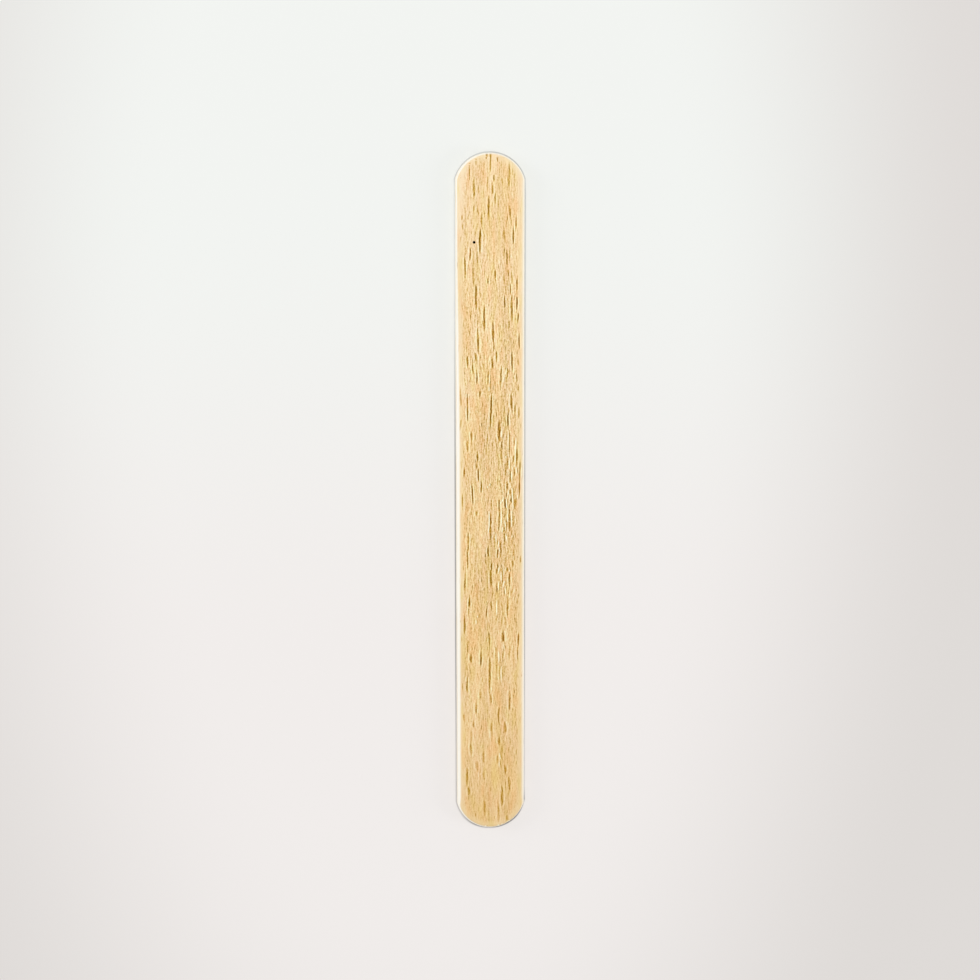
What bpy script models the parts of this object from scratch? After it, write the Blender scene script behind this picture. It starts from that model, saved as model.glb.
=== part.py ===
"""A small wooden spatula: one flat beech stick, die-cut from veneer and tumbled until its edges are smooth.

It lies on its underside, with its length along Y, its width along X and its thickness up Z.
The origin is on the underside, midway between the tips and between the sides.
"""

import math

import bmesh
import bpy

MM = 0.001

# Driving dimensions
LENGTH = 100.0 * MM  # from tip to tip
WIDTH = 10.0 * MM  # between the straight sides
THICKNESS = 2.0 * MM  # between the two faces
SHOULDER_ANGLE = math.radians(16.0)  # how far the outline turns where a side meets an end
EASING_ACROSS = 0.6 * MM  # how far the worn edge reaches in over each face
EASING_DEEP = 0.5 * MM  # how far the worn edge reaches down the side wall
SHOULDER_ROUNDING = 0.6 * MM  # radius of that turn on the flat face, inside the worn edge

# How finely the curves are divided
END_STEPS = 48
SHOULDER_STEPS = 4
EASING_STEPS = 6

# Finish of the bare wood, as linear colour
BEECH_COLOUR = (0.81, 0.58, 0.29, 1.0)
BEECH_ROUGHNESS = 0.62
SMOOTH_UP_TO = math.radians(30.0)


def clear_scene():
    for thing in list(bpy.data.objects):
        bpy.data.objects.remove(thing, do_unlink=True)


def arc(centre, radius, start, end, steps):
    """Points along an arc, with both of its ends."""
    turns = [start + (end - start) * i / steps for i in range(steps + 1)]
    return [(centre[0] + radius * math.cos(a), centre[1] + radius * math.sin(a)) for a in turns]


def end_outline(inset):
    """The far end of the stick, from its right side to its left, drawn inset all round.

    One wide arc crosses the tip. It is a little flatter than a half circle, so it meets each
    straight side at a shoulder, which a small arc rounds over.
    """
    half_width = WIDTH / 2
    tip_radius = half_width / math.cos(SHOULDER_ANGLE)
    tip_centre = LENGTH / 2 - tip_radius
    small = SHOULDER_ROUNDING + EASING_ACROSS - inset
    large = tip_radius - inset
    aside = half_width - inset - small
    ahead = math.sqrt((large - small) ** 2 - aside**2)
    meets_tip = math.atan2(ahead, aside)
    right = arc((aside, tip_centre + ahead), small, 0.0, meets_tip, SHOULDER_STEPS)
    tip = arc((0.0, tip_centre), large, meets_tip, math.pi - meets_tip, END_STEPS)
    left = [(-x, y) for x, y in reversed(right)]
    return right + tip[1:-1] + left


def outline(inset):
    """The whole outline, anticlockwise from above: both ends, which the straight sides join."""
    far_end = end_outline(inset)
    near_end = [(-x, -y) for x, y in far_end]
    return far_end + near_end


def worn_edge():
    """Inset and height of each ring, up the side wall from the underside to the upper face."""
    turns = [math.pi / 2 * i / EASING_STEPS for i in range(EASING_STEPS + 1)]
    lower = [(EASING_ACROSS * (1 - math.sin(a)), EASING_DEEP * (1 - math.cos(a))) for a in turns]
    upper = [(inset, THICKNESS - height) for inset, height in reversed(lower)]
    return lower + upper


def make_stick(name):
    """Lofts the outline through the rings of the worn edge and closes it with two flat faces."""
    shape = bmesh.new()
    rings = []
    for inset, height in worn_edge():
        points = [shape.verts.new((x, y, height)) for x, y in outline(inset)]
        corners = zip(points, points[1:] + points[:1])
        rings.append([shape.edges.new(pair) for pair in corners])
    for below, above in zip(rings, rings[1:]):
        bmesh.ops.bridge_loops(shape, edges=below + above)
    for rim in (rings[0], rings[-1]):
        bmesh.ops.contextual_create(shape, geom=rim)
    bmesh.ops.recalc_face_normals(shape, faces=shape.faces)
    mesh = bpy.data.meshes.new(name)
    shape.to_mesh(mesh)
    shape.free()
    mesh.shade_smooth()
    mesh.set_sharp_from_angle(angle=SMOOTH_UP_TO)
    return mesh


def beech():
    """Bare pale beech, sanded smooth and left without varnish."""
    material = bpy.data.materials.new("beech")
    material.use_nodes = True
    material.diffuse_color = BEECH_COLOUR
    surface = material.node_tree.nodes["Principled BSDF"]
    surface.inputs["Base Color"].default_value = BEECH_COLOUR
    surface.inputs["Roughness"].default_value = BEECH_ROUGHNESS
    surface.inputs["Metallic"].default_value = 0.0
    return material


def build():
    clear_scene()
    mesh = make_stick("spatula")
    mesh.materials.append(beech())
    spatula = bpy.data.objects.new("spatula", mesh)
    bpy.context.scene.collection.objects.link(spatula)


build()
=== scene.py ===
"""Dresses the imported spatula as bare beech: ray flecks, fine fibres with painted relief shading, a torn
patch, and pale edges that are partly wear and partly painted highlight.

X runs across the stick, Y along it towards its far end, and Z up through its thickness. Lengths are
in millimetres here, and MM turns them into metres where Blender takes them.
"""

import math

import bpy
import numpy as np
from mathutils import Matrix, Vector, noise


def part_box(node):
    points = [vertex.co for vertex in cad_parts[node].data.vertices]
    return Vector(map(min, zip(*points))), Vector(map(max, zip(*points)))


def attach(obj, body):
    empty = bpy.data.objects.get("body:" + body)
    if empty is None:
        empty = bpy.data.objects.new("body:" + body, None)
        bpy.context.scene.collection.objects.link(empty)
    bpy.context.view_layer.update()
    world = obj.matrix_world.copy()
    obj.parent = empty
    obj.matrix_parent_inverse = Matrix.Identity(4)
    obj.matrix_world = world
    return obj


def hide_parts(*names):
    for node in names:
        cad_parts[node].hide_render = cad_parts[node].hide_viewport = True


MM = 0.001

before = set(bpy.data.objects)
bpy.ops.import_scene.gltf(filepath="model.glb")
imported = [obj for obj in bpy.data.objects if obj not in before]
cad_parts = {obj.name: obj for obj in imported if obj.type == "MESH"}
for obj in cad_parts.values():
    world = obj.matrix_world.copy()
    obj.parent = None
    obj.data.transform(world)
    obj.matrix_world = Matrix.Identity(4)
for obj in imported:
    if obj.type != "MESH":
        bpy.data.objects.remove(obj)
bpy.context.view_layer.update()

# Form of the stick: its overall sizes come from the frame, and the rest repeats the part's own
low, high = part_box("spatula")
HALF_WIDTH = (high.x - low.x) / 2 / MM
HALF_LENGTH = (high.y - low.y) / 2 / MM
THICKNESS = (high.z - low.z) / MM
SHOULDER_ANGLE = math.radians(16.0)
SHOULDER_ROUNDING = 0.6
EASING_ACROSS = 0.6
EASING_DEEP = 0.5
TIP_RADIUS = HALF_WIDTH / math.cos(SHOULDER_ANGLE)
TIP_CENTRE = HALF_LENGTH - TIP_RADIUS

# How finely the surface is divided
SIDE_ROWS = 136  # from the middle of the stick to a shoulder
SHOULDER_ROWS = 4
TIP_ROWS = 22  # from a shoulder to the tip
UPPER_COLUMNS = 168
LOWER_COLUMNS = 72
EASING_LEVELS = 6
WALL_LEVELS = 6

# Relief, always inwards from the true surface
SKIN = 0.002  # taken off everywhere
FLECK_DEPTH = 0.035
GRAIN_DEPTH = 0.012
TORN_DEPTH = 0.04

# Photograph: columns and rows of its pixels, counted from the upper left corner
PHOTO_SIDE = 980
PIXELS_PER_MM = 6.833
STICK_CENTRE = (490.95, 498.4)

# Camera: where it stands, seen from the middle of the upper face
CAMERA_DISTANCE = 320.0
CAMERA_TO_LEFT = math.radians(7.5)
CAMERA_TO_FAR_END = math.radians(9.0)
CAMERA_ROLL = math.radians(-0.05)
CAMERA_SENSOR = 36.0
CAMERA_SEES = (10.0, 10000.0)  # nearest and furthest

# Dark flecks that the photograph shows, read one by one: column, row, length in pixels and strength
OCHRE_FLECKS = (
    (490.5, 162, 17, 0.9), (509, 174, 22, 0.5), (476, 162, 6, 0.6), (502, 181, 5, 0.45),
    (474, 188, 16, 0.7), (492.5, 188, 11, 0.75), (494, 178, 6, 0.75), (487.5, 184, 14, 0.45),
    (478.5, 190, 7, 0.4), (488.5, 208, 21, 0.7), (495, 200, 10, 0.75), (498.5, 203, 9, 0.2),
    (510, 212, 12, 0.8), (481.5, 220, 13, 0.75), (474, 208, 6, 0.5), (477.5, 210, 8, 0.6),
    (467.5, 202, 8, 0.2), (462.5, 226, 6, 0.45), (513.3, 235, 14, 1.1), (504, 234, 11, 0.5),
    (480, 242, 22, 1.0), (466, 251, 7, 0.5), (465, 269, 21, 0.85), (473.5, 270, 24, 0.35),
    (477.5, 260, 14, 0.4), (504, 252, 8, 0.55), (507, 259, 17, 0.55), (509.5, 253, 12, 0.35),
    (495.2, 276, 11, 1.0), (488, 280, 8, 0.9), (508, 272, 7, 0.6), (511.6, 277.5, 10, 0.6),
    (504, 280, 6, 0.2), (476, 298, 22, 0.75), (504.6, 301, 12, 1.1), (511.8, 309, 25, 0.85),
    (518, 318, 9, 0.9), (484.2, 318, 24, 0.85), (470.5, 315, 11, 0.5), (509, 325, 8, 0.5),
    (493, 331.5, 19, 1.0), (478, 340, 20, 1.0), (494, 347, 9, 0.7), (476, 357, 9, 0.75),
    (467.5, 362, 11, 0.75), (472.7, 369, 8, 1.0), (477, 377, 14, 1.2), (496.5, 357, 10, 1.1),
    (492.4, 363, 10, 0.8), (512, 362, 18, 0.95), (518, 361, 9, 0.5), (500.9, 377, 18, 1.0),
    (507.5, 374, 7, 0.55), (488, 377, 13, 0.55), (516.5, 377, 7, 0.65), (518, 388, 7, 0.5),
    (480, 394, 6, 0.95), (467.5, 408, 26, 1.1), (491, 410, 29, 0.95), (511.5, 404, 17, 0.85),
    (515, 410, 8, 0.95), (519, 413, 10, 0.6), (508, 419, 13, 0.95), (460.5, 425, 11, 0.6),
    (471.5, 437, 9, 0.95), (509.6, 444, 24, 0.85), (467.5, 446, 10, 0.9), (516.9, 456, 19, 0.85),
    (501.4, 454, 21, 0.6), (513.5, 459, 8, 0.8), (477.5, 456, 8, 0.6), (507.5, 461, 13, 0.65),
    (476.5, 465, 8, 0.5), (478.3, 475.5, 11, 1.25), (520, 466, 9, 0.6), (519.4, 489, 13, 0.95),
    (481.3, 485.5, 12, 1.15), (472.5, 495, 19, 1.15), (462.5, 504, 19, 0.6), (505.2, 503, 11, 1.3),
    (507.3, 485.5, 8, 0.85), (499.7, 509, 8, 0.8), (476.5, 514, 5, 0.9), (499.3, 521, 20, 0.7),
    (506.5, 525, 12, 0.9), (491.5, 505, 10, 0.5), (490.5, 533, 15, 0.55), (468, 538, 11, 0.85),
    (467.5, 560, 19, 0.9), (468, 547, 8, 0.85), (488, 551, 10, 0.85), (497.5, 554, 9, 1.3),
    (504.5, 537, 8, 0.3), (491.5, 567, 6, 1.25), (491, 579, 18, 0.7), (497.9, 565, 5, 0.8),
    (496.9, 571, 7, 0.7), (512.5, 564, 6, 0.5), (509.5, 580, 15, 0.75), (465, 582, 20, 0.6),
    (497, 587, 10, 0.55), (469.5, 602, 10, 1.1), (491.4, 606, 9, 0.75), (507.5, 607, 20, 0.7),
    (464.7, 624, 18, 0.75), (468.5, 612, 5, 0.6), (505.5, 622, 10, 0.4), (489.5, 640, 15, 0.75),
    (468, 647, 12, 0.5), (481, 657, 16, 1.2), (471, 659, 8, 0.8), (504, 649, 9, 0.5),
    (489.6, 676, 33, 0.85), (467, 667, 6, 0.5), (467, 685, 16, 0.75), (509.5, 652, 13, 0.5),
    (499.8, 668, 30, 0.5), (496.5, 660, 28, 0.4), (502.5, 656, 13, 0.5), (480.5, 694, 9, 0.6),
    (490.5, 698, 11, 0.65), (509.5, 701, 19, 0.75), (476, 708, 12, 0.8), (498.5, 716, 16, 0.8),
    (473.5, 723, 9, 0.65), (505, 728, 11, 0.75), (491.5, 732, 17, 0.6), (471.5, 736, 12, 0.65),
    (499, 741, 8, 0.8), (517, 731, 8, 0.4), (471, 749.5, 11, 1.0), (502, 751, 8, 0.45),
    (483.3, 756, 12, 0.7), (497.5, 759, 9, 0.65), (477, 766, 9, 0.7), (505.5, 770, 10, 0.85),
    (467, 777, 17, 0.75), (483.5, 775, 8, 0.5), (469, 791, 9, 0.75), (509.5, 785, 15, 0.6),
    (502, 796, 18, 0.85), (484.5, 809, 16, 0.55), (498.5, 811, 21, 0.6), (507, 818, 6, 0.6),
    (505.6, 472, 8, 0.55), (505.5, 464.5, 4, 0.35), (507.4, 467, 4, 0.7), (510.4, 477, 11, 0.75),
    (514.6, 472, 8, 0.75), (511.3, 500.5, 5, 1.2), (499.4, 503, 5, 0.8), (503.6, 528, 7, 0.6),
    (497.5, 542.5, 4, 0.4), (500.6, 545, 18, 0.5), (494.4, 538, 12, 0.5), (513.2, 520, 13, 0.6),
    (514.4, 558.5, 4, 0.45), (487.4, 440, 8, 0.55), (492.5, 443.5, 5, 0.5), (514.4, 442, 8, 0.6),
    (511.5, 450.5, 4, 0.35), (495.5, 439.5, 4, 0.7), (502.4, 574, 16, 0.45), (505.2, 583, 4, 0.4),
    (507.3, 570, 4, 0.8), (504.2, 592, 5, 0.6), (511.4, 592.5, 5, 0.7), (508.4, 593.5, 4, 0.75),
    (518.3, 595.5, 4, 0.3), (517.6, 599, 3, 0.5), (505, 618, 4, 0.8), (492.4, 595, 4, 0.45),
    (496.5, 619, 5, 0.6),
)
RED_FLECKS = (
    (486.3, 155.5, 6, 0.85), (497.3, 157, 8, 0.85), (462, 217.5, 6, 0.7), (516, 222, 11, 0.75),
    (469.5, 171, 16, 0.7), (460.4, 394, 20, 0.6), (470.3, 254.5, 10, 0.85), (510.4, 290, 11, 0.8),
    (517, 285, 12, 0.8), (517, 304, 12, 1.1), (519, 341, 14, 0.9), (464.2, 472, 8, 0.75),
    (513.5, 552, 7, 0.5), (520.5, 559, 7, 0.5), (486.4, 613.5, 11, 0.8), (517.3, 602, 4, 0.45),
    (518.2, 641, 14, 0.8), (517.5, 654, 14, 0.45), (464, 718, 8, 0.55), (519.6, 476, 14, 0.6),
    (490.7, 518, 14, 0.75), (506.3, 495, 7, 0.2), (510.6, 492, 7, 0.6),
)
WIDE_FLECKS = (
    (499, 431, 20, 0.8), (515.5, 503, 9, 0.5), (509.8, 520, 20, 0.65), (502.9, 636.5, 10, 0.85),
)
PIN_KNOT = (474.1, 242.3)
PIN_KNOT_RADIUS = 0.215

# Raised fibres, pale partly as painted highlight, read the same way, and how far each leans to the right on
# its way down
CHIPS = (
    (501.6, 433, 9, 0.8, -0.05), (515.7, 446, 18, 1.0, -0.02), (515.2, 459, 12, 0.9, -0.03),
    (513.3, 467, 5, 1.0, -0.8), (509.4, 464.5, 10, 1.0, 0.0), (505.8, 457, 4, 0.9, 0.3),
    (516.4, 471, 10, 0.8, 0.12), (511.5, 476, 9, 0.9, 0.0), (521.5, 472, 17, 0.8, 0.0),
    (488.2, 486.5, 5, 1.0, -1.0), (489.0, 485.6, 5, 1.0, -1.0), (510.5, 486, 5, 0.8, 0.2),
    (508.4, 493, 5, 1.0, 0.0), (512.4, 497, 19, 1.0, 0.04), (517.4, 496.5, 5, 0.7, 0.0),
    (502.2, 500.7, 6, 1.0, -0.8), (501.3, 502.2, 5, 1.0, -0.9), (506.5, 503.5, 9, 1.0, 0.0),
    (513, 506.5, 6, 0.7, 0.2), (507.4, 518, 10, 1.0, 0.0), (489.2, 520, 19, 1.0, 0.0),
    (488.4, 530.5, 6, 1.0, -0.1), (501.4, 518, 16, 0.9, 0.03), (511.4, 519, 16, 0.9, 0.03),
    (505.2, 524, 7, 0.9, 0.2), (502.4, 530, 7, 0.8, -0.1), (489.6, 379, 10, 0.8, 0.0),
    (489, 389, 7, 0.8, 0.0), (504, 377, 11, 0.7, 0.0), (506, 372, 8, 0.7, -0.2),
    (496, 538, 12, 0.8, 0.0), (498.6, 544, 6, 1.0, -0.1), (499.5, 550, 6, 0.8, 0.1),
    (506.4, 537.5, 7, 1.0, 0.1), (512, 536.5, 5, 0.8, -0.2), (498.9, 570, 8, 0.8, -0.15),
    (501.2, 577, 10, 0.8, 0.05), (498.5, 586, 10, 1.0, 0.0), (504.8, 582, 4, 0.7, -0.3),
    (503.4, 584.3, 6, 1.0, -0.1), (503.6, 571, 12, 0.6, 0.0), (509.8, 571, 4, 0.8, 0.5),
    (505.4, 590.5, 9, 0.8, 0.05), (496.6, 608, 18, 0.9, 0.0), (477.6, 616.5, 4, 0.8, 0.0),
    (476, 622, 5, 0.8, 0.0), (498.7, 655, 5, 1.0, -0.1), (499, 657, 14, 0.8, 0.0),
    (504, 647, 9, 0.7, 0.1), (501, 674, 20, 0.7, 0.0), (491.5, 689, 6, 0.7, 0.0),
    (489.8, 734, 11, 0.7, 0.0), (499.8, 756.5, 8, 0.9, 0.15), (499.2, 764, 8, 0.8, 0.0),
    (507.5, 767, 8, 0.5, 0.0), (478.5, 775, 7, 0.7, 0.0), (486, 826.3, 3, 0.9, 0.2),
    (492.4, 826.6, 3, 1.0, 0.0), (498.5, 825.6, 3, 1.0, -0.2), (502, 824.5, 3, 0.9, -0.2),
    (506.8, 822.3, 3, 0.9, -0.3), (509.5, 820.5, 3, 0.9, -0.3),
)
TORN_PATCH = (504, 515)
TORN_HALF_SIZE = (1.5, 12.0)

SEED = 20  # of every random draw

# Rays: what their widths and tones are drawn from, where a tone of 0 is ochre and 1 is red
OCHRE_HALF_WIDTHS = (0.11, 0.16)
OCHRE_REDDEST = 0.5
RED_HALF_WIDTHS = (0.1, 0.14)
RED_TONES = (0.8, 1.0)
WIDE_HALF_WIDTH = 0.2
WIDE_TONES = (0.6, 0.8)
WIDENING = 0.25  # how much wider they are towards the near end
WIDENING_START = -15.0
WIDENING_REACH = 30.0

# Faint rays, which fill the rest of the stick
FAINT_COUNT = 120
FAINT_TRIES = 6000
FAINT_APART = (0.5, 2.0)  # how far each one keeps from all other rays, across and along
FAINT_LENGTHS = (0.6, 1.5)
FAINT_STRENGTHS = (0.25, 0.6)
FAINT_HALF_WIDTHS = (0.06, 0.085)
FAINT_TONES = (0.0, 0.7)
FAINT_LEAN_SPREAD = 0.08
FAINT_BOW_SPREAD = 0.04

# Form of each ray: a spread is that of a random draw
RAY_OVERREACH = 1.15  # its thin tips reach past the length that the eye reads
RAY_LEAN = -0.01  # the grain's own, to the left on its way to the far end
RAY_LEAN_SPREAD = 0.05
RAY_BOW_SPREAD = 0.05
LEANS_LESS_FROM = 1.5  # a ray longer than this runs straighter
RAY_SKEW = 0.45  # how lopsided it may be from tip to tip
RAY_DRIFT_SPREAD = (0.12, 0.35)  # across and along, for each millimetre of depth

# Cut of each ray, in half widths from its middle line
RAY_TAPER = 0.38  # 0.5 gives an ellipse, and less gives blunter tips
RAY_SOFTNESS = 0.27
PALE_LINE_AWAY = 0.95
PALE_LINE_WIDTH = 0.5

# Raised fibres and the crevice along the right of each, darkened as painted shade, in half widths of the
# fibre
CHIP_HALF_WIDTHS = (0.085, 0.11)
CHIP_BOW_SPREAD = 0.04
CHIP_EDGE = 2.4  # how suddenly it ends
CHIP_SOFTNESS = 0.1
CREVICE_AWAY = 1.9
CREVICE_WIDTH = 0.8
# Its darkness is painted shade, and it is also sunk
CREVICE_SHADE_STRENGTH = 0.6  # how dark and deep it is, beside a fleck's 1

# Strands of fibre in the relief: their grain, across, along and deep
STRAND_GRAIN = (0.34, 3.2, 0.34)
STRAND_SHARE = 0.6
HAIR_GRAIN = (0.17, 1.5, 0.17)
HAIR_SHARE = 0.4
HAIR_AWAY = 50.0  # keeps the two patterns from lining up
SWAY_GRAIN = (2.4, 8.0, 4.0)
SWAY = 0.35
STRAND_CONTRAST = 2.0

# Wear and painted highlight that whiten the edge, where 1 is the full width of the pale edge
WEAR_AND_HIGHLIGHT_LOST_AT_FAR_TIP = 2.2
WEAR_AND_HIGHLIGHT_LOST_AT_NEAR_TIP = 3.0
LEAST_WEAR_AND_HIGHLIGHT_FAR = (0.5, 0.1)  # in the middle, and what the right side adds
LEAST_WEAR_AND_HIGHLIGHT_NEAR = (0.36, 0.15)  # on the right, and what the left side adds
WEAR_AND_HIGHLIGHT_LOST_AT_FAR_LEFT = 0.6
FAR_LEFT_START = 10.0
FAR_LEFT_REACH = 25.0


def srgb(red, green, blue):
    """A colour as seen on a screen, from 0 to 255, turned into linear values."""
    def linear(level):
        share = level / 255
        return share / 12.92 if share <= 0.04045 else ((share + 0.055) / 1.055) ** 2.4
    return (linear(red), linear(green), linear(blue), 1.0)


# View of the photograph: from a little to the left of the stick and towards its far end

FACE_CENTRE = Vector((0.0, 0.0, THICKNESS))


def camera_axes():
    """Right, up and backwards, as the camera has them."""
    away = Vector((-math.tan(CAMERA_TO_LEFT), math.tan(CAMERA_TO_FAR_END), 1.0)).normalized()
    right = Vector((0.0, 1.0, 0.0)).cross(away).normalized()
    level = Matrix((right, away.cross(right), away)).transposed()
    return (level @ Matrix.Rotation(CAMERA_ROLL, 3, "Z")).transposed()


def on_face(column, row):
    """The point of the upper face that the photograph shows at this pixel."""
    right, up, away = camera_axes()
    across = (column - STICK_CENTRE[0]) / PIXELS_PER_MM
    ahead = (STICK_CENTRE[1] - row) / PIXELS_PER_MM
    eye = FACE_CENTRE + away * CAMERA_DISTANCE
    ray = right * across + up * ahead - away * CAMERA_DISTANCE
    place = eye - ray * ((eye.z - THICKNESS) / ray.z)
    return place.x, place.y


# Rays: thin upright sheets that run through the stick and show as flecks where they are cut

def make_ray(across, along, length, strength, half_width, tone, lean, bow, chance):
    """How one ray cuts the upper face, and how it drifts on its way down."""
    return {
        "across": across,
        "along": along,
        "length": length,
        "strength": strength,
        "half_width": half_width,
        "tone": tone,
        "lean": lean,
        "bow": bow,
        "skew": chance.uniform(-RAY_SKEW, RAY_SKEW),
        "drift_across": chance.normal(0, RAY_DRIFT_SPREAD[0]),
        "drift_along": chance.normal(0, RAY_DRIFT_SPREAD[1]),
    }


def ray_from_photo(fleck, half_width, tone, chance):
    """The ray behind a fleck that the photograph shows."""
    column, row, pixels, strength = fleck
    across, along = on_face(column, row)
    length = RAY_OVERREACH * pixels / PIXELS_PER_MM
    widened = min(max((WIDENING_START - along) / WIDENING_REACH, 0), 1)
    return make_ray(
        across, along, length, strength, half_width * (1 + WIDENING * widened), tone,
        lean=chance.normal(RAY_LEAN, RAY_LEAN_SPREAD) / max(length / LEANS_LESS_FROM, 1),
        bow=chance.normal(0, RAY_BOW_SPREAD),
        chance=chance,
    )


def faint_rays(chance, taken):
    """Further small rays all over the stick, which keep clear of each other and of the rest."""
    spots = [(ray["across"], ray["along"]) for ray in taken]
    rays = []
    for _ in range(FAINT_TRIES):
        if len(rays) == FAINT_COUNT:
            break
        across = chance.uniform(-HALF_WIDTH, HALF_WIDTH)
        along = chance.uniform(-HALF_LENGTH, HALF_LENGTH)
        gaps = [((across - a) / FAINT_APART[0], (along - b) / FAINT_APART[1]) for a, b in spots]
        if min(math.hypot(*gap) for gap in gaps) < 1:
            continue
        spots.append((across, along))
        rays.append(make_ray(
            across, along,
            length=chance.uniform(*FAINT_LENGTHS),
            strength=chance.uniform(*FAINT_STRENGTHS),
            half_width=chance.uniform(*FAINT_HALF_WIDTHS),
            tone=chance.uniform(*FAINT_TONES),
            lean=chance.normal(RAY_LEAN, FAINT_LEAN_SPREAD),
            bow=chance.normal(0, FAINT_BOW_SPREAD),
            chance=chance,
        ))
    return rays


def all_rays(chance):
    rays = []
    for fleck in OCHRE_FLECKS:
        half_width = chance.uniform(*OCHRE_HALF_WIDTHS)
        tone = OCHRE_REDDEST * chance.uniform() ** 2
        rays.append(ray_from_photo(fleck, half_width, tone, chance))
    for fleck in RED_FLECKS:
        half_width = chance.uniform(*RED_HALF_WIDTHS)
        rays.append(ray_from_photo(fleck, half_width, chance.uniform(*RED_TONES), chance))
    for fleck in WIDE_FLECKS:
        rays.append(ray_from_photo(fleck, WIDE_HALF_WIDTH, chance.uniform(*WIDE_TONES), chance))
    return rays + faint_rays(chance, rays)


# Values at each place of the surface

def ray_fields(places, rays):
    """How strongly each place lies in a ray, the tone of that ray, and the pale lines beside it."""
    strength = np.zeros(len(places))
    tone = np.zeros(len(places))
    beside = np.zeros(len(places))
    depth = THICKNESS - places[:, 2]
    for ray in rays:
        half_length = ray["length"] / 2
        along = (places[:, 1] - ray["along"] - ray["drift_along"] * depth) / half_length
        near = np.abs(along) < 1
        s = along[near]
        middle = ray["across"] + ray["drift_across"] * depth[near]
        middle += ray["lean"] * s * half_length + ray["bow"] * s**2
        taper = (1 - s**2) ** RAY_TAPER * (1 + ray["skew"] * s)
        off = np.abs(places[near, 0] - middle) / ray["half_width"]
        core = ray["strength"] * np.clip(taper + RAY_SOFTNESS - off, 0, 1)
        line = np.exp(-((off - taper - PALE_LINE_AWAY) / PALE_LINE_WIDTH) ** 2)
        line *= ray["strength"] * np.clip(2 * taper, 0, 1)
        best = core > strength[near]
        tone[near] = np.where(best, ray["tone"], tone[near])
        strength[near] = np.maximum(strength[near], core)
        beside[near] = np.maximum(beside[near], line)
    return strength, tone, beside * (1 - np.clip(2 * strength, 0, 1))


def on_upper_half(places):
    return places[:, 2] > THICKNESS / 2


def chip_fields(places, chance):
    """Fibres that stand up on the upper face, pale partly as painted highlight, and the crevice along the
    right of each, dark as painted shade.
    """
    field = np.zeros(len(places))
    crevice_shade = np.zeros(len(places))
    for column, row, pixels, strength, lean in CHIPS:
        across, along = on_face(column, row)
        half_length = pixels / PIXELS_PER_MM / 2
        half_width = chance.uniform(*CHIP_HALF_WIDTHS)
        along = (places[:, 1] - along) / half_length
        near = (np.abs(along) < 1) & on_upper_half(places)
        s = along[near]
        middle = across - lean * s * half_length + chance.normal(0, CHIP_BOW_SPREAD) * s**2
        off = (places[near, 0] - middle) / half_width
        taper = np.sqrt(1 - s**2)
        body = np.clip(CHIP_EDGE * (taper + CHIP_SOFTNESS - np.abs(off)), 0, 1)
        gap = taper * np.exp(-((off - CREVICE_AWAY) / CREVICE_WIDTH) ** 2)
        field[near] = np.maximum(field[near], strength * body)
        crevice_shade[near] = np.maximum(crevice_shade[near], strength * gap)
    return field, crevice_shade * (1 - field)


def torn_field(places):
    """From 0 to 1, how rough the upper face is torn."""
    across, along = on_face(*TORN_PATCH)
    aside = (places[:, 0] - across) / TORN_HALF_SIZE[0]
    ahead = (places[:, 1] - along) / TORN_HALF_SIZE[1]
    return np.where(on_upper_half(places), np.exp(-(aside**2 + ahead**2)), 0.0)


def noise_at(x, y, z, grain, away=0.0):
    return noise.noise((x / grain[0], y / grain[1], z / grain[2] + away))


def strand_field(places):
    """Long strands of fibre, from -1 to 1."""
    field = np.empty(len(places))
    for i, (x, y, z) in enumerate(places.tolist()):
        swayed = x + SWAY * noise_at(x, y, z, SWAY_GRAIN)
        strand = noise_at(swayed, y, z, STRAND_GRAIN)
        hair = noise_at(swayed, y, z, HAIR_GRAIN, HAIR_AWAY)
        field[i] = STRAND_SHARE * strand + HAIR_SHARE * hair
    return np.clip(field * STRAND_CONTRAST, -1, 1)


def wear_and_highlight_field(places):
    """How widely the edge is painted white, as wear and as highlight: 1 along the sides, less round the ends
    and at the far left.
    """
    x, y, _ = places.T
    aside = x / HALF_WIDTH
    past = np.maximum(np.abs(y) - TIP_CENTRE, 0)
    turned = past**2 / np.maximum(x**2 + past**2, 1e-6)  # 0 along the sides and 1 at a tip
    at_ends = 1 - turned * np.where(y > 0, WEAR_AND_HIGHLIGHT_LOST_AT_FAR_TIP, WEAR_AND_HIGHLIGHT_LOST_AT_NEAR_TIP)
    far = np.clip((y - FAR_LEFT_START) / FAR_LEFT_REACH, 0, 1)
    left = np.clip(-2 * aside, 0, 1)
    at_far_left = 1 - WEAR_AND_HIGHLIGHT_LOST_AT_FAR_LEFT * far * left * on_upper_half(places)
    least_far = LEAST_WEAR_AND_HIGHLIGHT_FAR[0] + LEAST_WEAR_AND_HIGHLIGHT_FAR[1] * aside
    least_near = LEAST_WEAR_AND_HIGHLIGHT_NEAR[0] + LEAST_WEAR_AND_HIGHLIGHT_NEAR[1] * np.clip(0.5 - aside, 0, 1)
    least = np.where(y > 0, least_far, least_near)
    return np.maximum(np.minimum(at_ends, at_far_left), least)


# Mesh: rows across the two faces, and rings down the worn edges and the side wall

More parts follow.
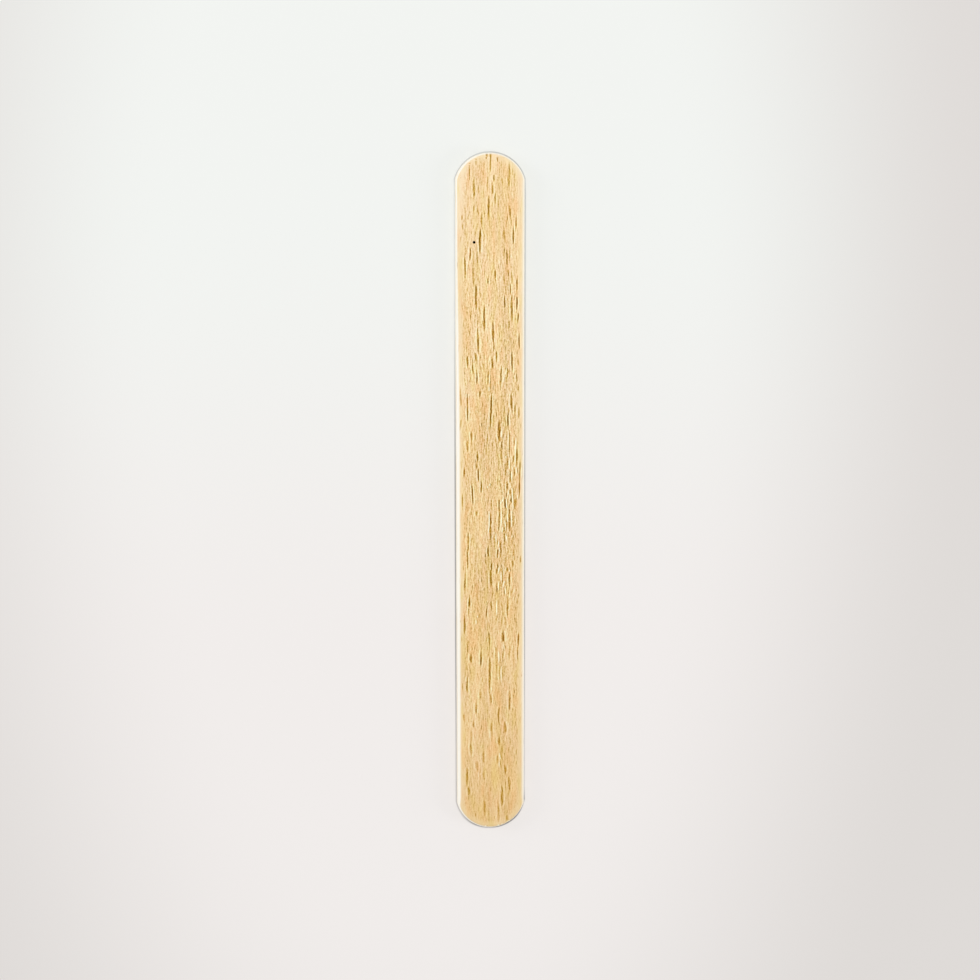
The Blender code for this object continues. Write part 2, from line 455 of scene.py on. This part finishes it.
def stations():
    """Points up the right side of the widest outline, from tip to tip, and the way each one faces."""
    small = SHOULDER_ROUNDING + EASING_ACROSS
    aside = HALF_WIDTH - small
    ahead = math.sqrt((TIP_RADIUS - small) ** 2 - aside**2)
    meets = math.atan2(ahead, aside)
    side = np.linspace(0.0, TIP_CENTRE + ahead, SIDE_ROWS, endpoint=False)
    bend = np.linspace(0.0, meets, SHOULDER_ROWS, endpoint=False)
    tip = np.linspace(meets, math.pi / 2, TIP_ROWS + 1)
    turns = np.concatenate([np.zeros(SIDE_ROWS), bend, tip])
    ways = np.stack([np.cos(turns), np.sin(turns)], 1)
    bend_ways, tip_ways = ways[SIDE_ROWS:SIDE_ROWS + SHOULDER_ROWS], ways[SIDE_ROWS + SHOULDER_ROWS:]
    points = np.concatenate([
        np.stack([np.full(SIDE_ROWS, HALF_WIDTH), side], 1),
        np.array([aside, TIP_CENTRE + ahead]) + small * bend_ways,
        np.array([0.0, TIP_CENTRE]) + TIP_RADIUS * tip_ways,
    ])
    ways[-1] = (0.0, 1.0)
    points[-1, 0] = 0.0
    mirror = np.array([1.0, -1.0])
    return np.concatenate([points[:0:-1] * mirror, points]), np.concatenate([ways[:0:-1] * mirror, ways])


def edge_levels():
    """Inset, height and tilt of each ring, from the rim of the upper face to that of the underside."""
    turns = np.linspace(0.0, math.pi / 2, EASING_LEVELS + 1)
    inset = EASING_ACROSS * (1 - np.sin(turns))
    drop = EASING_DEEP * (1 - np.cos(turns))
    aside, up = np.sin(turns) / EASING_ACROSS, np.cos(turns) / EASING_DEEP
    size = np.hypot(aside, up)
    upper = np.stack([inset, THICKNESS - drop, aside / size, up / size], 1)
    lower = np.stack([inset, drop, aside / size, -up / size], 1)[::-1]
    heights = np.linspace(THICKNESS - EASING_DEEP, EASING_DEEP, WALL_LEVELS + 1)[1:-1]
    wall = np.stack([np.zeros_like(heights), heights, np.ones_like(heights), np.zeros_like(heights)], 1)
    return np.concatenate([upper, wall, lower])


def both_sides(right):
    """The right side's pairs from tip to tip, and then the left side's on the way back."""
    return np.concatenate([right, right[-2:0:-1] * (-1, 1)])


def faces_between_rings(levels, ring):
    """Faces that join each ring, of this many places, to the one below it."""
    around = np.arange(ring)
    onward = np.roll(around, -1)
    faces = []
    for level in range(levels - 1):
        top, below = level * ring, (level + 1) * ring
        faces += np.column_stack([top + around, below + around, below + onward, top + onward]).tolist()
    return faces


def flat_face(rim_places, rim, first, columns, up):
    """Places and faces that fill a rim, in rows that run across between its two sides.

    The rim's own places are numbered from rim on, and the new ones from first on. At the tips the
    rows close in fans. Up is 1 for the upper face and -1 for the underside.
    """
    ring = len(rim_places)
    far_tip = ring // 2
    rows = np.arange(1, far_tip)
    share = np.linspace(-1, 1, columns + 1)[1:-1]
    across = rim_places[rows, 0][:, None] * share
    along = np.repeat(rim_places[rows, 1][:, None], columns - 1, 1)
    height = np.full_like(along, rim_places[0, 2])
    inner = first + np.arange(across.size).reshape(across.shape)
    grid = np.column_stack([rim + ring - rows, inner, rim + rows])
    quads = np.stack([grid[:-1, :-1], grid[:-1, 1:], grid[1:, 1:], grid[1:, :-1]], 2).reshape(-1, 4)
    near = np.column_stack([np.full(columns, rim), grid[0, 1:], grid[0, :-1]])
    far = np.column_stack([grid[-1, :-1], grid[-1, 1:], np.full(columns, rim + far_tip)])
    faces = [face for patch in (quads, near, far) for face in patch[:, ::up].tolist()]
    return np.stack([across, along, height], 2).reshape(-1, 3), faces


def surface():
    """Places, outward ways and faces of the closed stick, before any relief."""
    points, ways = stations()
    levels = edge_levels()
    facing = both_sides(ways)
    ring = len(facing)
    places, normals = [], []
    for inset, height, aside, up in levels:
        places.append(np.column_stack([both_sides(points - inset * ways), np.full(ring, height)]))
        normals.append(np.column_stack([facing * aside, np.full(ring, up)]))
    faces = faces_between_rings(len(levels), ring)
    used = len(levels) * ring
    for level, columns, up in ((0, UPPER_COLUMNS, 1), (len(levels) - 1, LOWER_COLUMNS, -1)):
        inner, patch = flat_face(places[level], level * ring, used, columns, up)
        places.append(inner)
        normals.append(np.tile((0.0, 0.0, float(up)), (len(inner), 1)))
        faces += patch
        used += len(inner)
    return np.concatenate(places), np.concatenate(normals), faces


def make_stick():
    chance = np.random.default_rng(SEED)
    rays = all_rays(chance)
    places, normals, faces = surface()
    strength, tone, beside = ray_fields(places, rays)
    chips, crevice_shades = chip_fields(places, chance)
    # The crevices join the rays: sunk into the relief, and darkened as painted shade
    strength = np.maximum(strength, CREVICE_SHADE_STRENGTH * crevice_shades)
    torn = torn_field(places)
    strands = strand_field(places)
    sunk = FLECK_DEPTH * strength + GRAIN_DEPTH * (0.5 - 0.5 * strands) + TORN_DEPTH * torn
    sunk = SKIN + sunk * (1 - chips)
    mesh = bpy.data.meshes.new("stick")
    mesh.from_pydata(((places - normals * sunk[:, None]) * MM).tolist(), [], faces)
    mesh.validate()
    mesh.shade_smooth()
    values = {
        "ray": strength,
        "tone": tone,
        "pale": beside,
        "chip": chips,
        "torn": torn,
        "grain": strands,
        "steep": 1 - np.abs(normals[:, 2]),
        "wear_and_highlight": wear_and_highlight_field(places),
    }
    for name, value in values.items():
        layer = mesh.attributes.new(name, "FLOAT", "POINT")
        layer.data.foreach_set("value", value.astype(np.float32))
    stick = bpy.data.objects.new("beech_stick", mesh)
    bpy.context.scene.collection.objects.link(stick)
    return stick


# Materials

class Nodes:
    """Short ways to add nodes to one material."""

    def __init__(self, tree):
        self.tree = tree

    def add(self, kind, inputs, **settings):
        node = self.tree.nodes.new(kind)
        for name, value in settings.items():
            setattr(node, name, value)
        for socket, value in inputs.items():
            self.feed(node.inputs[socket], value)
        return node

    def feed(self, socket, value):
        if isinstance(value, bpy.types.NodeSocket):
            self.tree.links.new(value, socket)
        else:
            socket.default_value = value

    def maths(self, operation, a, b=0.0, clamp=False):
        return self.add("ShaderNodeMath", {0: a, 1: b}, operation=operation, use_clamp=clamp).outputs[0]

    def times(self, first, *others):
        product = first
        for other in others:
            product = self.maths("MULTIPLY", product, other)
        return product

    def plus(self, a, b, clamp=False):
        return self.maths("ADD", a, b, clamp)

    def minus(self, a, b, clamp=False):
        return self.maths("SUBTRACT", a, b, clamp)

    def largest(self, a, b):
        return self.maths("MAXIMUM", a, b)

    def total(self, *shares):
        """Adds up values, each with its own weight."""
        whole = 0.0
        for value, weight in shares:
            whole = self.plus(whole, self.times(value, weight))
        return whole

    def vector(self, operation, a, b=(0.0, 0.0, 0.0)):
        """A length or a distance comes out as one value, and all else as a vector."""
        node = self.add("ShaderNodeVectorMath", {0: a, 1: b}, operation=operation)
        return node.outputs["Value" if operation in ("LENGTH", "DISTANCE") else "Vector"]

    def combine(self, x, y=0.0):
        return self.add("ShaderNodeCombineXYZ", {0: x, 1: y}).outputs[0]

    def split(self, vector):
        """How far a vector goes across and along the stick."""
        parts = self.add("ShaderNodeSeparateXYZ", {0: vector})
        return parts.outputs[0], parts.outputs[1]

    def place(self):
        """The place on the object, in millimetres."""
        here = self.add("ShaderNodeTexCoord", {}).outputs["Object"]
        return self.add("ShaderNodeVectorMath", {0: here, "Scale": 1 / MM}, operation="SCALE").outputs[0]

    def noise(self, place, grain, detail=0.0):
        """Noise around 0, up to about 1 either way, with grains of this size."""
        value = self.add("ShaderNodeTexNoise", {
            "Vector": self.vector("DIVIDE", place, grain),
            "Scale": 1.0,
            "Detail": detail,
            "Roughness": 0.5,
        }).outputs["Fac"]
        return self.times(self.minus(value, 0.5), 2.0)

    def streaks_and_painted_shade(self, place, grain, step):
        """Noise with each dark streak beside a pale one: the fibres' tone, with the shade and highlight of
        their relief painted in.
        """
        one_side = self.vector("ADD", place, (step, 0.0, 0.0))
        other_side = self.vector("SUBTRACT", place, (step, 0.0, 0.0))
        return self.minus(self.noise(one_side, grain), self.noise(other_side, grain))

    def span(self, value, start, end, low=0.0, high=1.0, shape="SMOOTHSTEP"):
        """Goes from low to high while value goes from start to end, and stays there outside."""
        return self.add("ShaderNodeMapRange", {
            "Value": value,
            "From Min": start,
            "From Max": end,
            "To Min": low,
            "To Max": high,
        }, interpolation_type=shape).outputs[0]

    def across(self, x, left, right):
        """Goes evenly from one value at the left side of the stick to another at the right."""
        return self.span(x, -HALF_WIDTH, HALF_WIDTH, left, right, "LINEAR")

    def mix(self, share, a, b, way="MIX"):
        """Mixes two colours, which a Mix node takes at sockets 6 and 7 and gives at output 2."""
        node = self.add("ShaderNodeMix", {0: share, 6: a, 7: b}, data_type="RGBA", blend_type=way)
        return node.outputs[2]

    def tint(self, share, colour, glass):
        """The colour as seen through tinted glass, in part or in full."""
        return self.mix(share, colour, glass, "MULTIPLY")

    def ramp(self, value, stops):
        node = self.add("ShaderNodeValToRGB", {0: value})
        elements = node.color_ramp.elements
        while len(elements) < len(stops):
            elements.new(1.0)
        for element, (position, colour) in zip(elements, stops):
            element.position = position
            element.color = colour
        return node.outputs[0]

    def attribute(self, name):
        return self.add("ShaderNodeAttribute", {}, attribute_name=name).outputs["Fac"]


def new_material(name):
    """A material, its tree and its shader."""
    material = bpy.data.materials.new(name)
    material.use_nodes = True
    return material, material.node_tree, material.node_tree.nodes["Principled BSDF"]


def outside(nodes, x, y):
    """How far a place lies outside the outline of the stick, or below 0 inside it."""
    past_tip_centre = nodes.largest(nodes.minus(nodes.maths("ABSOLUTE", y), TIP_CENTRE), 0.0)
    past_tip = nodes.minus(nodes.vector("LENGTH", nodes.combine(x, past_tip_centre)), TIP_RADIUS)
    past_side = nodes.minus(nodes.maths("ABSOLUTE", x), HALF_WIDTH)
    return nodes.largest(past_side, past_tip)


# Colours of the wood: its tones run from the darkest fleck to the palest fibre
BEECH_TONES = (
    (0.0, srgb(133, 97, 2)),
    (0.15, srgb(169, 131, 27)),
    (0.3, srgb(204, 167, 81)),
    (0.45, srgb(227, 193, 139)),
    (0.6, srgb(242, 212, 168)),
    (0.75, srgb(250, 225, 186)),
    (0.9, srgb(255, 239, 204)),
    (1.0, srgb(255, 251, 218)),
)
USUAL_PALENESS = 0.6
PALE_BEECH = srgb(251, 236, 206)
# Colour of the pale edge: wear, and painted highlight where the edge catches the light
WEAR_AND_HIGHLIGHT_WHITE = srgb(253, 251, 242)
# Raised fibres: pale partly as their wood and partly as painted highlight
CHIP_COLOUR_AND_HIGHLIGHT = srgb(255, 253, 220)
KNOT_COLOUR = srgb(8, 5, 3)
AT_NEAR_END = srgb(242, 234, 217)
REDDISH = srgb(255, 231, 211)
OLIVE = srgb(251, 252, 233)
YELLOWER = srgb(255, 252, 238)
ROSIEST = 0.45  # how far the broad changes of hue go towards reddish

# Patterns of the wood: the size of their grains across, along and deep
WANDER_GRAIN = (2.6, 9.0, 4.0)
WANDER = 0.25
TREMBLE_GRAIN = (0.7, 1.8, 0.7)
TREMBLE = 0.08
SPECKS = (0.13, 0.24, 0.13)
FIBRES = (0.2, 0.95, 0.2)
FIBRE_STEP = 0.065  # half of the way from a dark streak to the pale one beside it
STRANDS = (0.34, 3.4, 0.34)
STRAND_STEP = 0.1
BANDS = (1.6, 16.0, 1.6)
HUES = (0.9, 4.0, 0.9)
STAINS = (1.7, 11.0, 1.7)
WALL_STREAKS = (0.22, 3.5, 0.22)

# Pores: their cells, half widths, half lengths, and the share of the cells that hold one
DARK_PORES = ((0.42, 1.3, 4.0), (0.04, 0.07), (0.25, 0.6), 0.65)
PALE_PORES = ((0.5, 1.3, 3.0), (0.035, 0.06), (0.15, 0.5), 0.5)
PORE_EDGE = (1.0, 0.25)  # where it fades out and where it is full: a share of its size, squared

# How much each pattern lightens the wood, or darkens it below 0
SPECK_WEIGHT = 0.29
FIBRE_WEIGHT = 0.28
STRAND_WEIGHT = 0.09
RELIEF_WEIGHT = 0.03
DARK_PORE_WEIGHT = -0.33
PALE_PORE_WEIGHT = 0.3
BAND_WEIGHT = 0.2

# Changes along the stick, where 0 is its far tip and 1 its near one: start, end, and the values there
CALM_AT_FAR_END = (0.0, 0.3, 0.7, 1.05)
CALM_PAST_MIDDLE = (0.3, 0.5, 1.0, 0.92)
CALM_AT_NEAR_END = (0.6, 1.0, 1.0, 0.6)
PORES_ALONG = (0.15, 0.35, 0.9, 1.35)
PALE_LINES_AT_FAR_END = (0.05, 0.3, 0.32, 0.48)
PALE_LINES_AT_NEAR_END = (0.55, 1.0, 1.0, 0.6)
RAYS_ALONG = (0.6, 1.0, 0.62, 0.43)
CHIPS_ALONG = (0.6, 0.9, 1.0, 0.7)

# Changes with other values, written the same way: the values go from 0 to 1 where none are given
RUBBED_BY_INSET = (1.45, 0.4)
RUBBED_BY_WEAR_AND_HIGHLIGHT = (0.0, 0.5, 0.5, 1.0)
SMOOTH_BY_STEEPNESS = (0.5, 0.95, 1.0, 0.4)
CALM_BY_SMOOTHNESS = (0.0, 1.0, 1.0, 0.35)
WEAVE_BY_TEAR = (0.0, 1.0, 1.0, 1.5)
BARE_BY_RAY = (0.0, 0.5, 0.5, 0.0)
YELLOW_BY_STAIN = (-0.4, 0.4)
OLIVE_BY_HUE = (0.0, -0.5)
ROSY_BY_HUE = (0.0, 0.5)
LIFTED_BY_CHIP = (0.2, 0.95)
RIM_BY_STEEPNESS = (0.55, 0.95, 0.92, 0.0)
WALL_BY_STEEPNESS = (0.5, 0.95)
WALL_BY_WEAR_AND_HIGHLIGHT = (0.0, 0.3, 0.4, 1.0)
ROUGHNESS_BY_PALENESS = (0.3, 0.9, 0.6, 0.72)
SHINE_BY_DULLNESS = (0.0, 1.0, 0.2, 0.0)

# Pale rim, partly wear and partly painted highlight: how far in it fades out and where it is full, at the
# left and at the right side
RIM_FADES_OUT = (0.6, 0.62)
RIM_IS_FULL = (0.24, -0.08)
LEAST_RIM = 0.02

# Walls: how white they are painted, as wear and as highlight, at the left and at the right side, and how
# strong their streaks are
WALL_WHITENESS = (0.76, 0.55)
WALL_STREAK_STRENGTH = 0.85

KNOT_CORE = 0.88  # share of the pin knot's radius that is fully dark
BUMP_STRENGTH = 0.5
BUMP_HEIGHT = 0.02


class Beech(Nodes):
    """The bare wood, with the places and the mesh's values that its patterns share."""

    def __init__(self, tree):
        super().__init__(tree)
        self.here = self.place()
        self.x, self.y = self.split(self.here)
        wander = self.noise(self.here, WANDER_GRAIN)
        tremble = self.noise(self.here, TREMBLE_GRAIN)
        shift = self.total((wander, WANDER), (tremble, TREMBLE))
        self.shifted = self.vector("ADD", self.here, self.combine(shift))
        self.near_end = self.span(self.y, HALF_LENGTH, -HALF_LENGTH, shape="LINEAR")
        self.inset = self.minus(0.0, outside(self, self.x, self.y))
        self.ray = self.attribute("ray")
        self.steep = self.attribute("steep")
        self.wear_and_highlight = self.attribute("wear_and_highlight")
        self.rubbed = self.times(
            self.span(self.inset, *RUBBED_BY_INSET), self.span(self.wear_and_highlight, *RUBBED_BY_WEAR_AND_HIGHLIGHT))

    def pores(self, cell, half_widths, half_lengths, share):
        """One short spindle in some of the cells of a stretched pattern, from 0 to 1."""
        scaled = self.vector("DIVIDE", self.shifted, cell)
        cells = self.add("ShaderNodeTexVoronoi", {"Vector": scaled, "Scale": 1.0, "Randomness": 1.0})
        dice = self.add("ShaderNodeSeparateColor", {0: cells.outputs["Color"]}).outputs
        offset = self.vector("SUBTRACT", scaled, cells.outputs["Position"])
        across, along = self.split(self.vector("MULTIPLY", offset, cell))
        across = self.maths("DIVIDE", across, self.span(dice[0], 0.0, 1.0, *half_widths, "LINEAR"))
        along = self.maths("DIVIDE", along, self.span(dice[1], 0.0, 1.0, *half_lengths, "LINEAR"))
        size = self.plus(self.times(across, across), self.times(along, along))
        holds_one = self.span(dice[2], 1.0 - share, 1.0, shape="LINEAR")
        return self.times(self.span(size, *PORE_EDGE), holds_one)

    def calm(self):
        """How strong the fine pattern is: it is weaker near both tips and along the rubbed edge."""
        smooth = self.times(self.rubbed, self.span(self.steep, *SMOOTH_BY_STEEPNESS))
        return self.times(
            self.span(self.near_end, *CALM_AT_FAR_END),
            self.span(self.near_end, *CALM_AT_NEAR_END),
            self.span(self.near_end, *CALM_PAST_MIDDLE),
            self.span(smooth, *CALM_BY_SMOOTHNESS),
        )

    def weave(self):
        """The fine pattern of specks, fibres, strands and pores, around 0, where fibres and strands carry
        painted relief shade.
        """
        # Fibres and strands are painted with the shade and highlight of their relief, as light from the side
        # gives it
        fine = self.total(
            (self.noise(self.here, SPECKS), SPECK_WEIGHT),
            (self.streaks_and_painted_shade(self.shifted, FIBRES, FIBRE_STEP), FIBRE_WEIGHT),
            (self.streaks_and_painted_shade(self.shifted, STRANDS, STRAND_STEP), STRAND_WEIGHT),
            (self.attribute("grain"), RELIEF_WEIGHT),
        )
        fine = self.times(fine, self.span(self.attribute("torn"), *WEAVE_BY_TEAR))
        pored = self.total(
            (self.pores(*DARK_PORES), DARK_PORE_WEIGHT),
            (self.pores(*PALE_PORES), PALE_PORE_WEIGHT),
        )
        pored = self.times(pored, self.span(self.near_end, *PORES_ALONG))
        return self.times(self.plus(fine, pored), self.calm())

    def paleness(self, weave):
        """How pale the wood is, from 0 in the darkest fleck to 1 in the palest fibre."""
        pale_lines = self.times(
            self.attribute("pale"),
            self.span(self.near_end, *PALE_LINES_AT_FAR_END),
            self.span(self.near_end, *PALE_LINES_AT_NEAR_END),
        )
        bands = self.noise(self.shifted, BANDS, detail=1.0)
        pale = self.total((weave, 1.0), (bands, BAND_WEIGHT), (pale_lines, 1.0), (1.0, USUAL_PALENESS))
        dark = self.times(self.ray, self.span(self.near_end, *RAYS_ALONG))
        return self.minus(pale, dark, clamp=True)

    def wood_colour(self, paleness):
        """The colour of the wood, paler along the edge, with broad changes of hue, darker and yellower
        towards the near end, and raised fibres that are pale partly as painted highlight.
        """
        hue = self.noise(self.shifted, HUES, detail=1.0)
        stain = self.noise(self.shifted, STAINS, detail=1.0)
        colour = self.ramp(paleness, BEECH_TONES)
        colour = self.mix(self.times(self.rubbed, self.span(self.ray, *BARE_BY_RAY)), colour, PALE_BEECH)
        colour = self.tint(self.span(stain, *YELLOW_BY_STAIN), colour, YELLOWER)
        colour = self.tint(self.span(hue, *OLIVE_BY_HUE), colour, OLIVE)
        rosy = self.times(self.span(hue, *ROSY_BY_HUE), ROSIEST)
        rosy = self.largest(rosy, self.times(self.ray, self.attribute("tone")))
        colour = self.tint(rosy, colour, REDDISH)
        colour = self.tint(self.near_end, colour, AT_NEAR_END)
        # Raised fibres turn pale: partly their wood, partly painted highlight
        lifted = self.span(self.attribute("chip"), *LIFTED_BY_CHIP)
        return self.mix(self.times(lifted, self.span(self.near_end, *CHIPS_ALONG)), colour, CHIP_COLOUR_AND_HIGHLIGHT)

    def whiteness(self):
        """How white the wood is painted, as wear and as painted highlight: fully along its rims, and in pale
        streaks down its walls.
        """
        fades_out = self.plus(self.times(self.wear_and_highlight, self.across(self.x, *RIM_FADES_OUT)), LEAST_RIM)
        is_full = self.times(self.wear_and_highlight, self.across(self.x, *RIM_IS_FULL))
        rim = self.times(self.span(self.inset, fades_out, is_full), self.span(self.steep, *RIM_BY_STEEPNESS))
        streaks = self.times(self.noise(self.shifted, WALL_STREAKS, detail=1.0), WALL_STREAK_STRENGTH)
        wall = self.times(self.across(self.x, *WALL_WHITENESS), self.span(self.wear_and_highlight, *WALL_BY_WEAR_AND_HIGHLIGHT))
        wall = self.times(self.plus(wall, streaks, clamp=True), self.span(self.steep, *WALL_BY_STEEPNESS))
        return self.largest(rim, wall)

    def knot(self):
        """1 in the pin knot, and 0 elsewhere."""
        away = self.vector("DISTANCE", self.here, (*on_face(*PIN_KNOT), THICKNESS))
        return self.span(away, PIN_KNOT_RADIUS, KNOT_CORE * PIN_KNOT_RADIUS)


def beech():
    material, tree, shader = new_material("beech")
    nodes = Beech(tree)
    weave = nodes.weave()
    paleness = nodes.paleness(weave)
    knot = nodes.knot()
    # Rims and walls turn white: wear, and painted highlight
    colour = nodes.mix(nodes.whiteness(), nodes.wood_colour(paleness), WEAR_AND_HIGHLIGHT_WHITE)
    nodes.feed(shader.inputs["Base Color"], nodes.mix(knot, colour, KNOT_COLOUR))
    shine = nodes.span(nodes.largest(knot, nodes.ray), *SHINE_BY_DULLNESS, "LINEAR")
    nodes.feed(shader.inputs["Specular IOR Level"], shine)
    nodes.feed(shader.inputs["Roughness"], nodes.span(paleness, *ROUGHNESS_BY_PALENESS))
    bump = nodes.add("ShaderNodeBump", {
        "Height": weave,
        "Strength": BUMP_STRENGTH,
        "Distance": BUMP_HEIGHT * MM,
    })
    nodes.feed(shader.inputs["Normal"], bump.outputs[0])
    return material


# Floor: its paint, and a painted pool of light: how far its brightest spot reaches before it dulls towards
# the corners in painted shade
FLOOR_HALF_SIZE = 3000.0
FLOOR_COLOUR = srgb(240, 236, 234)
FLOOR_BEYOND = srgb(240, 242, 239)
FLOOR_CORNER_PAINTED_SHADE = srgb(222, 218, 215)
FLOOR_CHANGES = (-25.0, 45.0)  # from where to where along Y it turns from one colour to the next
FLOOR_PAINTED_LIGHT_CENTRE = (-9.0, 24.0, 0.0)
FLOOR_STRETCH = (1.0, 0.45, 0.0)
FLOOR_PAINTED_LIGHT_FALLOFF = (37.0, 85.0)
FLOOR_ROUGHNESS = 0.9
FLOOR_GLOW = 0.5  # share of the floor's brightness that no lamp's shadow takes away
BLACK = (0.0, 0.0, 0.0, 1.0)

# Thin contact shadow round the stick: how much light it leaves, and how wide it is
CONTACT_LINE = 0.5
DARKEST_CONTACT = 0.27
CONTACT_EDGE = (1.5, 0.7)  # where it fades out and where it is full, in widths
CONTACT_WIDTHS = (0.12, 0.32)  # at the left and at the right side
WIDER_AT_NEAR_TIP = (4.0 - HALF_LENGTH, -HALF_LENGTH, 0.0, 0.28)
NARROWER_AT_FAR_TIP = (HALF_LENGTH - 6.5, HALF_LENGTH - 3.0, 0.0, 0.05)

# And how strong it is: along the sides, then round the two tips
FAR_STRENGTHS = (0.2, 1.0)  # at the left and at the right side
FAR_STRETCH = (32.0, 0.0)  # along Y, from the far strengths to full strength
FAR_TIP_STRENGTH = (HALF_LENGTH - 6.5, HALF_LENGTH - 3.0, 0.0, 0.55)
NEAR_STRENGTH = (-20.0, -40.0, 1.0, 0.6)
NEAR_TIP_STRETCH = (6.0 - HALF_LENGTH, -HALF_LENGTH)  # along Y, from 1 to the next two together
NEAR_TIP_LEFT_STRENGTH = (-4.5, -2.0, 0.8, 2.2)
NEAR_TIP_RIGHT_STRENGTH = (0.0, 2.0, 1.0, 2.2)


def floor_paint(nodes, place, y):
    colour = nodes.mix(nodes.span(y, *FLOOR_CHANGES), FLOOR_COLOUR, FLOOR_BEYOND)
    # Painted pool of light: brightest at one spot, fading to painted shade towards the corners
    outwards = nodes.vector("MULTIPLY", nodes.vector("SUBTRACT", place, FLOOR_PAINTED_LIGHT_CENTRE), FLOOR_STRETCH)
    return nodes.mix(nodes.span(nodes.vector("LENGTH", outwards), *FLOOR_PAINTED_LIGHT_FALLOFF), colour, FLOOR_CORNER_PAINTED_SHADE)


def contact_light(nodes, x, y):
    """How much light the contact shadow leaves: 1 away from the stick, and least right beside it."""
    width = nodes.plus(nodes.across(x, *CONTACT_WIDTHS), nodes.span(y, *WIDER_AT_NEAR_TIP))
    width = nodes.minus(width, nodes.span(y, *NARROWER_AT_FAR_TIP))
    strength = nodes.span(y, *FAR_STRETCH, nodes.across(x, *FAR_STRENGTHS), 1.0)
    strength = nodes.largest(strength, nodes.span(y, *FAR_TIP_STRENGTH))
    near_tip = nodes.times(
        nodes.span(x, *NEAR_TIP_LEFT_STRENGTH), nodes.span(x, *NEAR_TIP_RIGHT_STRENGTH))
    near_tip = nodes.span(y, *NEAR_TIP_STRETCH, 1.0, near_tip)
    strength = nodes.times(strength, nodes.span(y, *NEAR_STRENGTH), near_tip)
    line = nodes.span(nodes.maths("DIVIDE", outside(nodes, x, y), width), *CONTACT_EDGE)
    light = nodes.minus(1.0, nodes.times(line, strength, 1.0 - CONTACT_LINE))
    return nodes.largest(light, DARKEST_CONTACT)


def make_floor():
    mesh = bpy.data.meshes.new("floor")
    turns = ((-1, -1), (1, -1), (1, 1), (-1, 1))
    corners = [(FLOOR_HALF_SIZE * MM * x, FLOOR_HALF_SIZE * MM * y, 0.0) for x, y in turns]
    mesh.from_pydata(corners, [], [(0, 1, 2, 3)])
    floor = bpy.data.objects.new("floor", mesh)
    bpy.context.scene.collection.objects.link(floor)
    material, tree, shader = new_material("floor")
    nodes = Nodes(tree)
    place = nodes.place()
    x, y = nodes.split(place)
    colour = nodes.mix(contact_light(nodes, x, y), BLACK, floor_paint(nodes, place, y))
    nodes.feed(shader.inputs["Base Color"], colour)
    shader.inputs["Roughness"].default_value = FLOOR_ROUGHNESS
    shader.inputs["Specular IOR Level"].default_value = 0.0
    glow = nodes.add("ShaderNodeEmission", {"Color": colour, "Strength": 1.0})
    path = nodes.add("ShaderNodeLightPath", {}).outputs
    seen = nodes.largest(path["Is Camera Ray"], path["Is Glossy Ray"])
    seen = nodes.largest(seen, path["Is Transmission Ray"])
    blend = nodes.add("ShaderNodeMixShader", {
        0: nodes.times(seen, FLOOR_GLOW),
        1: shader.outputs[0],
        2: glow.outputs[0],
    })
    nodes.feed(tree.nodes["Material Output"].inputs["Surface"], blend.outputs[0])
    mesh.materials.append(material)


# Lamps, where each share is of the plain light level, and the camera

LAMPS = (
    {"name": "key", "place": (0.0, 300.0, 850.0), "size": 120.0, "share": 0.22},
    {"name": "left_side", "place": (-650.0, 200.0, 280.0), "size": 300.0, "share": 0.08},
    {"name": "right_side", "place": (650.0, -150.0, 280.0), "size": 300.0, "share": 0.08},
)
WORLD_SHARE = 0.66
WHITE = (1.0, 1.0, 1.0, 1.0)


def make_lamp(name, place, size, share):
    """A square lamp that faces the stick and gives it this share of the plain light level."""
    lamp = bpy.data.lights.new(name, "AREA")
    lamp.size = size * MM
    where = Vector(place) * MM
    slope = where.z / where.length
    lamp.energy = share * math.pi**2 * where.length_squared / slope
    holder = bpy.data.objects.new(name, lamp)
    bpy.context.scene.collection.objects.link(holder)
    holder.location = where
    holder.rotation_mode = "QUATERNION"
    holder.rotation_quaternion = where.to_track_quat("Z", "Y")


def light_stage():
    world = bpy.data.worlds.new("studio")
    bpy.context.scene.world = world
    world.use_nodes = True
    background = world.node_tree.nodes["Background"]
    background.inputs["Color"].default_value = WHITE
    background.inputs["Strength"].default_value = WORLD_SHARE
    for lamp in LAMPS:
        make_lamp(**lamp)


def make_camera():
    camera = bpy.data.objects.new("camera", bpy.data.cameras.new("camera"))
    bpy.context.scene.collection.objects.link(camera)
    axes = camera_axes()
    eye = (FACE_CENTRE + axes[2] * CAMERA_DISTANCE) * MM
    camera.matrix_world = Matrix.Translation(eye) @ axes.transposed().to_4x4()
    camera.data.sensor_width = CAMERA_SENSOR
    camera.data.lens = CAMERA_SENSOR * CAMERA_DISTANCE * PIXELS_PER_MM / PHOTO_SIDE
    camera.data.shift_x = (PHOTO_SIDE / 2 - STICK_CENTRE[0]) / PHOTO_SIDE
    camera.data.shift_y = (STICK_CENTRE[1] - PHOTO_SIDE / 2) / PHOTO_SIDE
    camera.data.clip_start, camera.data.clip_end = (distance * MM for distance in CAMERA_SEES)
    bpy.context.scene.camera = camera


stick = make_stick()
stick.data.materials.append(beech())
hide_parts("spatula")
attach(stick, "root")
make_floor()
light_stage()
make_camera()
bpy.context.scene.view_settings.view_transform = "Standard"
